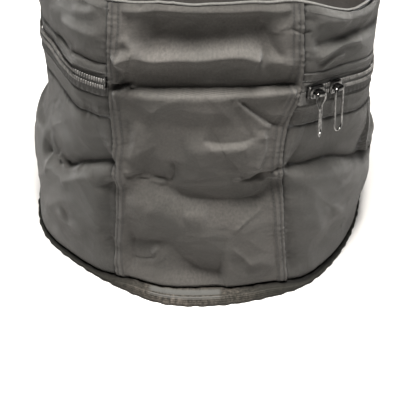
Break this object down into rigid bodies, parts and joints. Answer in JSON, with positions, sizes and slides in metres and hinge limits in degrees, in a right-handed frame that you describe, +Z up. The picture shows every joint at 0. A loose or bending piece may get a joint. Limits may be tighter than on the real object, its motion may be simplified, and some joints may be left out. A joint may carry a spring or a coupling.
{
  "type": "tom drum bag",
  "caption": "Round padded soft bag for a tom drum: zipped lid on a fabric hinge, bent-wire zip pulls, bound base and a webbing carry handle; the empty bag slumps at the back.",
  "frame": {"origin": "middle of the underside of the base", "axes": "+Z up; the hinge panel faces -Y, the carry handle is on the +Y side, the parked sliders are towards +X"},
  "size_m": [0.344, 0.3722, 0.3114],
  "materials": {
    "shell_nylon": "worn black nylon pack cloth, matt, warm grey where it is worn and dusty",
    "base_fabric": "matt black nylon, scuffed and dusty",
    "binding_tape": "matt woven black tape",
    "padding_foam": "matt grey foam",
    "lining_cloth": "thin matt black lining",
    "stiff_board": "matt board",
    "zip_tape": "matt woven black tape",
    "zip_coil": "satin black moulded coil",
    "slider_metal": "glossy black plating, worn bright on the edges",
    "webbing": "matt black webbing"
  },
  "bodies": {
    "case_body": {"base_outer": "base_fabric", "base_board": "stiff_board", "base_foam": "padding_foam", "base_lining": "lining_cloth", "base_binding": "binding_tape", "lower_wall_outer": "shell_nylon", "hinge_panel_lower": "shell_nylon", "lower_wall_foam": "padding_foam", "lower_wall_lining": "lining_cloth", "lower_zip_flange": "shell_nylon", "lower_zip_tape": "zip_tape", "lower_zip_coil": "zip_coil", "zip_stop_right": "slider_metal", "zip_stop_left": "slider_metal", "hinge_fold": "shell_nylon", "handle_patch_right": "webbing", "handle_patch_left": "webbing", "handle_strap_end_right": "webbing", "handle_strap_end_left": "webbing"},
    "lid": {"lid_wall_outer": "shell_nylon", "hinge_panel_upper": "shell_nylon", "lid_wall_foam": "padding_foam", "lid_wall_lining": "lining_cloth", "lid_top_outer": "shell_nylon", "lid_top_foam": "padding_foam", "lid_top_lining": "lining_cloth", "lid_rim_piping": "binding_tape", "upper_zip_tape": "zip_tape", "upper_zip_coil": "zip_coil", "upper_zip_tape_end_right": "zip_tape", "upper_zip_coil_end_right": "zip_coil", "upper_zip_tape_end_left": "zip_tape", "upper_zip_coil_end_left": "zip_coil"},
    "slider_near": {"slider_near": "slider_metal"},
    "slider_far": {"slider_far": "slider_metal"},
    "pull_near": {"pull_near": "slider_metal"},
    "pull_far": {"pull_far": "slider_metal"},
    "handle": {"handle_strap": "webbing", "handle_grip": "webbing"}
  },
  "joints": [
    {"name": "lid_hinge", "type": "hinge", "parent": "case_body", "child": "lid", "pos_m": [0.00065, -0.14377, 0.22305], "axis": [0.9996, 0, -0.03], "range_deg": [0, 150], "deforming": ["hinge_fold", "upper_zip_tape_end_right", "upper_zip_coil_end_right", "upper_zip_tape_end_left", "upper_zip_coil_end_left"]},
    {"name": "slider_near_run", "type": "hinge", "parent": "case_body", "child": "slider_near", "pos_m": [0, 0, 0.2015], "axis": [0.0297, 0.1483, 0.9885], "range_deg": [-0.4, 1.9]},
    {"name": "slider_far_run", "type": "hinge", "parent": "case_body", "child": "slider_far", "pos_m": [0, 0, 0.2015], "axis": [0.0297, 0.1483, 0.9885], "range_deg": [0, 280.5]},
    {"name": "pull_near_swing", "type": "hinge", "parent": "slider_near", "child": "pull_near", "pos_m": [0.10203, -0.13809, 0.21915], "axis": [-0.806, -0.5813, 0.1114], "range_deg": [-3, 150]},
    {"name": "pull_far_swing", "type": "hinge", "parent": "slider_far", "child": "pull_far", "pos_m": [0.1191, -0.12402, 0.21653], "axis": [-0.7232, -0.6795, 0.1236], "range_deg": [-5, 150]},
    {"name": "handle_swing", "type": "hinge", "parent": "case_body", "child": "handle", "pos_m": [0, 0.15535, 0.098], "axis": [1, 0, 0], "range_deg": [-20, 20], "stiffness_Nm_per_rad": 1, "deforming": ["handle_strap_end_right", "handle_strap_end_left"]}
  ]
}
